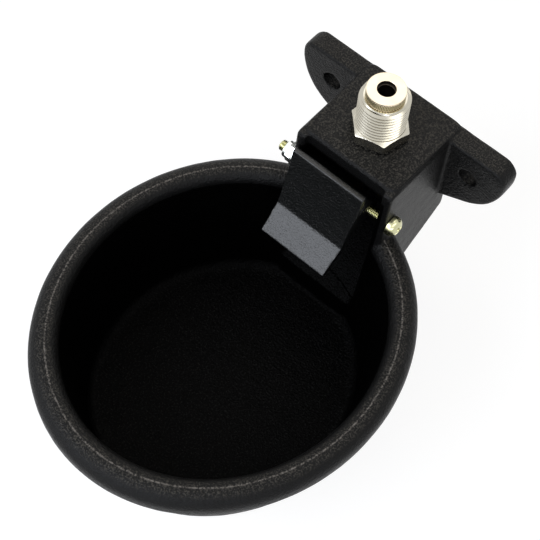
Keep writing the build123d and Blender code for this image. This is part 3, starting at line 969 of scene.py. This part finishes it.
@dataclass
class InletValve:
    """The valve in the housing's boss: body with the G 1/2 thread, insert, spring, plunger and seal."""

    axis_y: float = -25.3
    bottom_z: float = 1.0
    seat_z: float = 12.0
    hexagon_low: float = 16.3
    hexagon_high: float = 22.0
    top_z: float = 38.7
    insert_top_z: float = 43.0
    insert_bottom_z: float = 28.7
    hexagon_flats: float = 22.0
    hexagon_turn_deg: float = 15.3
    shank_radius: float = 8.3
    chamfer_deg: float = 30.0
    lead_radius: float = 8.7
    core_radius: float = 8.1
    sleeve_radius: float = 7.8
    lead_height: float = 1.15
    thread_radius: float = 10.4775
    thread_pitch: float = 1.814
    thread_cut: float = 1.162
    crest_flat: float = 0.07
    thread_overlap: float = 0.3
    bore: float = 6.5
    water_bore: float = 4.0
    insert_radius: float = 8.03
    insert_bore: float = 3.875
    knurl_teeth: int = 46
    knurl_depth: float = 0.28
    knurl_lean: float = 0.05
    columns: int = 180
    wire_radius: float = 0.55
    coil_radius: float = 3.95
    spring_low: float = 18.5
    spring_turns: float = 5.5
    spring_keep: float = 0.588
    wire_sides: int = 12
    steps_per_coil: int = 32
    closed_share: float = 0.12
    open_share: float = 0.76
    # Nickel over turned brass: a warm grey mirror.
    nickel: TurnedMetal = TurnedMetal("nickel_plate_on_turned_brass", "#cfcbbf", "#b2ad9d", 0.2)
    # The faced end scatters more, and the brass below warms it; its lighter cream colour is also a painted
    # highlight of the bright face.
    faced_nickel_with_highlight: TurnedMetal = TurnedMetal("warm_nickel_with_painted_highlight_on_faced_brass", "#eaddc8", "#ddceb5", 0.36)
    # A drilled bore is rough; its colour is painted dark as the shade inside the hole.
    shaded_bore: TurnedMetal = TurnedMetal("drilled_bore_painted_dark_as_shade", "#4a443c", "#35302a", 0.4)
    # Nickel is thin on the knurl's teeth, so they look olive.
    knurled_brass: TurnedMetal = TurnedMetal("thin_nickel_on_knurled_brass", "#b9ae8c", "#9f9470", 0.32)
    # Rubber: nearly black, with no clear highlight.
    rubber: MouldedPolymer = MouldedPolymer("black_nbr_rubber", "#141414", "#0d0d0d", 0.6)
    # Bare brass: yellow, and a little dull from the water.
    brass: TurnedMetal = TurnedMetal("bare_turned_brass", "#c79a4e", "#a87c38", 0.3)
    # Drawn wire: bright, with a soft gloss.
    wire: TurnedMetal = TurnedMetal("bright_spring_wire", "#c9cacc", "#a9abae", 0.25)

    def body(self) -> bpy.types.Object:
        """Builds the body: shank, hexagon, thread and the bore through it.

        Returns:
            The valve's body.
        """
        turn = math.radians(self.hexagon_turn_deg)
        low, high, top = self.hexagon_low, self.hexagon_high, self.top_z
        corner = self.hexagon_flats / math.sqrt(3)
        shoulder, root = self.thread_radius + 0.1, self.thread_radius - self.thread_cut
        fall = (corner - shoulder) * math.tan(math.radians(self.chamfer_deg))
        # The profile runs up the outside and down the bore, in millimetres. The marked rows get their
        # radius from the hexagon.
        marked = 20.0
        rows = [(self.shank_radius, self.bottom_z), (self.shank_radius, low - 0.01), (marked, low),
                (marked, low + 0.25)]
        rows += [(marked, z) for z in np.linspace(low + 0.5, high - fall - 0.1, 4)]
        rows += [(marked, z) for z in np.linspace(high - fall, high, 14)]
        rows += [(self.core_radius, high), (self.core_radius, top - 0.05), (self.bore, top - 0.05),
                 (self.bore, self.seat_z), (self.water_bore + 0.9, self.seat_z),
                 (self.water_bore + 0.6, self.seat_z + 0.4),
                 (self.water_bore, self.seat_z - 0.2), (self.water_bore, self.bottom_z)]
        cone = sloping_radius([(low, corner - 0.2), (low + 0.2, corner), (high - fall, corner),
                               (high, shoulder)])

        def outline(r: np.ndarray, z: np.ndarray, a: np.ndarray) -> np.ndarray:
            """Gives the marked rows their six flats."""
            flats = hexagon_radius(a, self.hexagon_flats, turn)
            return np.where(r >= marked, np.minimum(flats, cone(z)), r)

        points, faces = lathe(np.array(rows), self.columns, outline, closed=True)
        crest, tip = self.thread_radius, self.crest_flat
        profile = [(0.0, root), (tip, root), (0.5 - tip, crest), (0.5 + tip, crest), (1 - tip, root)]
        lead = sloping_radius([(high, crest), (top - self.lead_height, crest), (top, self.lead_radius)])
        start = high - self.thread_overlap
        sleeve = np.array([(root, start), (self.sleeve_radius, start), (self.sleeve_radius, top),
                           (self.lead_radius, top)])
        for more, strips in (helical_thread(start, top, self.thread_pitch, profile, lead, self.columns),
                             lathe(sleeve, self.columns)):
            shift = len(points)
            points = np.vstack([points, more])
            faces += [tuple(number + shift for number in strip) for strip in strips]
        piece = mesh_piece("valve_body_skin", standing(points, 0, self.axis_y), faces)
        merge_close(piece)
        return finish_piece(piece, [self.nickel.build()], Body.BOWL, ["valve_body"], 25)

    def insert(self) -> bpy.types.Object:
        """Builds the insert: spigot, knurled head and a bore with a turned groove inside.

        Returns:
            The insert.
        """
        low, top, rim = self.top_z, self.insert_top_z, self.insert_radius
        inner, spigot = self.insert_bore, self.bore - 0.05
        # The profile runs up the outside, over the ring face and down the bore, in millimetres. The
        # marked rows get their radius from the knurl.
        marked = 30.0
        rows = [(inner, self.insert_bottom_z), (spigot, self.insert_bottom_z), (spigot, low + 0.01),
                (rim - 0.5, low + 0.02), (rim - 0.45, low + 0.4)]
        rows += [(marked, z) for z in np.linspace(low + 0.5, top - 0.85, 24)]
        rows += [(rim - 0.14, top - 0.8), (rim - 0.02, top - 0.65), (rim, top - 0.2),
                 (rim - 0.06, top - 0.06), (rim - 0.22, top)]
        rows += [(r, top) for r in np.linspace(rim - 0.6, inner + 0.35, 6)]
        rows += [(inner + 0.08, top), (inner, top - 0.08), (inner, top - 1.9), (inner - 0.3, top - 2.0),
                 (inner - 0.32, top - 2.2), (inner - 0.3, top - 2.4), (inner, top - 2.6)]

        def knurled(r: np.ndarray, z: np.ndarray, a: np.ndarray) -> np.ndarray:
            """Gives the marked rows slanted teeth."""
            wave = 0.5 + 0.5 * np.cos(self.knurl_teeth * (a + (z - low) * self.knurl_lean))
            return np.where(r >= marked, rim - self.knurl_depth * wave**1.5, r)

        points, faces = lathe(np.array(rows), self.columns * 2, knurled, closed=True)
        piece = mesh_piece("inlet_insert_skin", standing(points, 0, self.axis_y), faces)
        # Of the three finishes below, the ring face has the first, the knurl the second and the bore
        # the third.
        band = np.zeros(len(rows))
        for i, (row, after) in enumerate(zip(rows, rows[1:] + rows[:1])):
            if min(row[0], after[0]) >= marked:
                band[i] = 1
            elif max(row[0], after[0]) < inner + 0.01 and not top - 2.5 < row[1] < top - 1.95:
                band[i] = 2
        piece.data.polygons.foreach_set("material_index", np.repeat(band, self.columns * 2).astype(np.int32))
        finishes = [self.faced_nickel_with_highlight.build(), self.knurled_brass.build(), self.shaded_bore.build()]
        return finish_piece(piece, finishes, Body.BOWL, ["inlet_insert"], 30)

    def spring(self) -> bpy.types.Object:
        """Builds the coil spring.

        Returns:
            The spring.
        """
        low, high = self.spring_low + self.wire_radius, self.insert_bottom_z - self.wire_radius
        steps, sides = int(self.spring_turns * self.steps_per_coil), self.wire_sides
        t = np.linspace(0, 1, steps + 1)
        z = low + (high - low) * np.clip((t - self.closed_share) / self.open_share, 0, 1)
        a = t * self.spring_turns * 2 * math.pi
        around = np.linspace(0, 2 * math.pi, sides, endpoint=False)
        radius = self.coil_radius + self.wire_radius * np.cos(around)[None, :]
        points = np.stack([radius * np.cos(a)[:, None], radius * np.sin(a)[:, None],
                           z[:, None] + self.wire_radius * np.sin(around)[None, :]], axis=-1).reshape(-1, 3)
        faces = ring_faces(steps + 1, sides) + end_caps(len(points), sides)
        piece = mesh_piece("coil_spring", standing(points, 0, self.axis_y), faces)
        finish_piece(piece, [self.wire.build()], Body.BOWL, ["valve_spring"], 60)
        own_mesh(piece)
        return piece

    def build(self, frame: dict) -> None:
        """Builds and dresses every piece of the valve.
        """
        self.body()
        self.insert()
        self.spring()
        rubber = self.rubber.build()
        dress_node(frame["nodes"]["body_gasket"], rubber)
        dress_node(frame["nodes"]["plunger_seal"], rubber)
        dress_node(frame["nodes"]["valve_plunger"], self.brass.build())


@dataclass(frozen=True)
class SoftBox:
    """One rectangular studio lamp, by where it stands as seen from the object.

    Angles are in degrees and lengths in metres. A radiance of 1 is as bright as the white background.
    """

    name: str
    azimuth: float
    elevation: float
    distance: float
    width: float
    height: float
    radiance: float
    colour: str

    def build(self, target: Vector) -> bpy.types.Object:
        """Adds the lamp, aimed at the target.

        Args:
            target: the point that it faces, in metres.

        Returns:
            The lamp's object.
        """
        data = bpy.data.lights.new(self.name, "AREA")
        data.shape = "RECTANGLE"
        data.size, data.size_y = self.width, self.height
        data.energy = self.radiance * math.pi * self.width * self.height
        data.color = to_linear(self.colour)[:3]
        lamp = put_in_scene(self.name, data)
        az, el = math.radians(self.azimuth), math.radians(self.elevation)
        way = Vector((math.cos(el) * math.cos(az), math.cos(el) * math.sin(az), math.sin(el)))
        lamp.location = target + way * self.distance
        lamp.rotation_euler = way.to_track_quat("Z", "Y").to_euler()
        lamp.visible_camera = False
        return lamp


@dataclass
class Studio:
    """The pale floor, the world, the lamps and the camera."""

    floor_z: float = -84.5
    floor_half: float = 1.6
    floor_paper: str = "#8c8c8c"
    floor_glow: float = 0.86
    sky_light: float = 0.04
    camera_place: tuple = (0.17297, -0.32468, 0.49876)
    camera_azimuth: float = 36.44
    camera_elevation: float = 60.42
    camera_roll: float = 5.17
    lens: float = 97.594
    sensor_width: float = 36.0
    clip_start: float = 0.01
    target: tuple = (0.0, -0.08, -0.01)
    lamps: tuple = (
        SoftBox("left_softbox", -114, 35, 0.9, 0.75, 0.62, 4.4, "#eef4ff"),
        SoftBox("right_softbox", -8, 55, 0.9, 0.9, 0.32, 2.0, "#fffdf8"),
        SoftBox("front_strip", -62, 18, 0.9, 1.1, 0.3, 3.0, "#eaf0ff"),
        SoftBox("rear_softbox", 112, 20, 0.9, 0.9, 0.2, 1.2, "#fff6e8"),
        SoftBox("overhead_card", 126, 60, 0.9, 0.8, 0.7, 1.0, "#fffaf2"),
    )

    def floor(self) -> bpy.types.Object:
        """Lays the floor: a grey paper that takes the shadow, with a glow that makes it white to see.

        Returns:
            The floor.
        """
        half, z = self.floor_half, self.floor_z * MM
        piece = mesh_piece("studio_floor", np.array([(-half, -half, z), (half, -half, z), (half, half, z),
                                                     (-half, half, z)]), [(0, 1, 2, 3)])
        material, tree = new_material("white_paper_floor")
        strength = self.seen_strength(tree, self.floor_glow, 0.0)
        paper = add_node(tree, "ShaderNodeBsdfDiffuse", {"Color": to_linear(self.floor_paper)})
        glow = add_node(tree, "ShaderNodeEmission", {"Strength": strength})
        both = add_node(tree, "ShaderNodeAddShader", {0: paper.outputs[0], 1: glow.outputs[0]})
        add_node(tree, "ShaderNodeOutputMaterial", {"Surface": both.outputs[0]})
        piece.data.materials.append(material)
        return piece

    def seen_strength(self, tree: Tree, seen: float, lighting: float) -> Socket:
        """Builds a strength for rays that look, straight or by a mirror or glass, and one for light.

        Args:
            tree: the node tree.
            seen: strength for camera, glossy and transmission rays.
            lighting: strength for all other rays.

        Returns:
            The strength.
        """
        ray = add_node(tree, "ShaderNodeLightPath", {}).outputs
        shiny = math_node(tree, "MAXIMUM", ray["Is Glossy Ray"], ray["Is Transmission Ray"])
        looks = math_node(tree, "MAXIMUM", ray["Is Camera Ray"], shiny)
        return map_range(tree, looks, (0.0, 1.0), (lighting, seen))

    def world(self) -> None:
        """Makes the world white where it is seen or mirrored, and dim where it lights the object."""
        world = bpy.data.worlds.new("studio_world")
        bpy.context.scene.world = world
        world.use_nodes = True
        tree = world.node_tree
        tree.nodes.clear()
        strength = self.seen_strength(tree, 1.0, self.sky_light)
        glow = add_node(tree, "ShaderNodeBackground", {"Color": (1, 1, 1, 1), "Strength": strength})
        add_node(tree, "ShaderNodeOutputWorld", {"Surface": glow.outputs[0]})

    def camera(self) -> bpy.types.Object:
        """Places the camera that was fitted to the object's outlines.

        Returns:
            The camera.
        """
        a, e, r = (math.radians(v) for v in (self.camera_azimuth, self.camera_elevation, self.camera_roll))
        back = Vector((math.sin(a) * math.cos(e), -math.cos(a) * math.cos(e), math.sin(e)))
        level = Vector((math.cos(a), math.sin(a), 0))
        rise = back.cross(level)
        right = math.cos(r) * level + math.sin(r) * rise
        up = -math.sin(r) * level + math.cos(r) * rise
        data = bpy.data.cameras.new("camera")
        data.sensor_width = self.sensor_width
        data.lens = self.lens
        data.clip_start = self.clip_start
        camera = put_in_scene("camera", data)
        turned = Matrix((right, up, back)).transposed().to_4x4()
        camera.matrix_world = Matrix.Translation(self.camera_place) @ turned
        bpy.context.scene.camera = camera
        return camera

    def build(self) -> None:
        """Sets up the whole studio."""
        self.camera()
        self.floor()
        self.world()
        for lamp in self.lamps:
            lamp.build(Vector(self.target))
        bpy.context.scene.view_settings.view_transform = "Standard"


def main() -> None:
    """Builds the studio and the bowl's sub-assemblies in order."""
    logging.basicConfig(level=logging.INFO, format="%(name)s: %(message)s")
    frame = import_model()
    Studio().build()
    for assembly in (BowlCasting(), PressTongue(), HingeFasteners(), InletValve()):
        LOG.info("building %s", type(assembly).__name__)
        assembly.build(frame)


if __name__ == "__main__":
    main()
